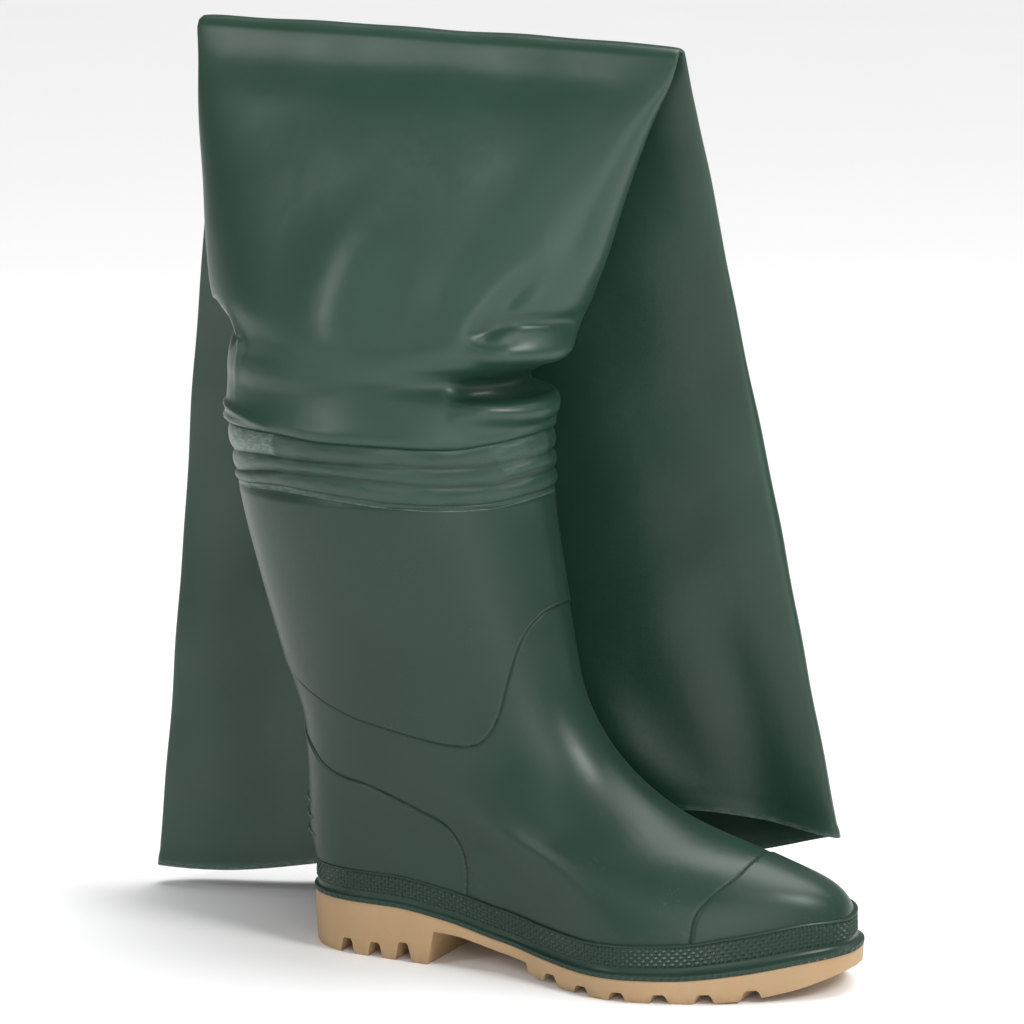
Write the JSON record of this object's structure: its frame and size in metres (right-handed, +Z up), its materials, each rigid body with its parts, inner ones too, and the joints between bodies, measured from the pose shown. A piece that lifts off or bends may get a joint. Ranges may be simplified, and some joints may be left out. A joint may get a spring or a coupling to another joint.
{
  "type": "hip wader",
  "caption": "Right hip wader: moulded knee boot with cleated sole and a long coated-cloth leg that folds over and hangs beside it.",
  "frame": {"origin": "middle of the heel's tread on the floor", "axes": "+Z up the leg, +X towards the toe, -Y the outer side of the right foot"},
  "size_m": [0.422, 0.1684, 0.476],
  "materials": {
    "sole_pvc": "matte moulded",
    "boot_pvc": "satin moulded",
    "insole_cloth": "felt",
    "leg_coated_cloth": "smooth coated"
  },
  "bodies": {
    "root": {"outsole": "sole_pvc", "upper": "boot_pvc", "insole": "insole_cloth", "leg": "leg_coated_cloth"}
  },
  "joints": []
}
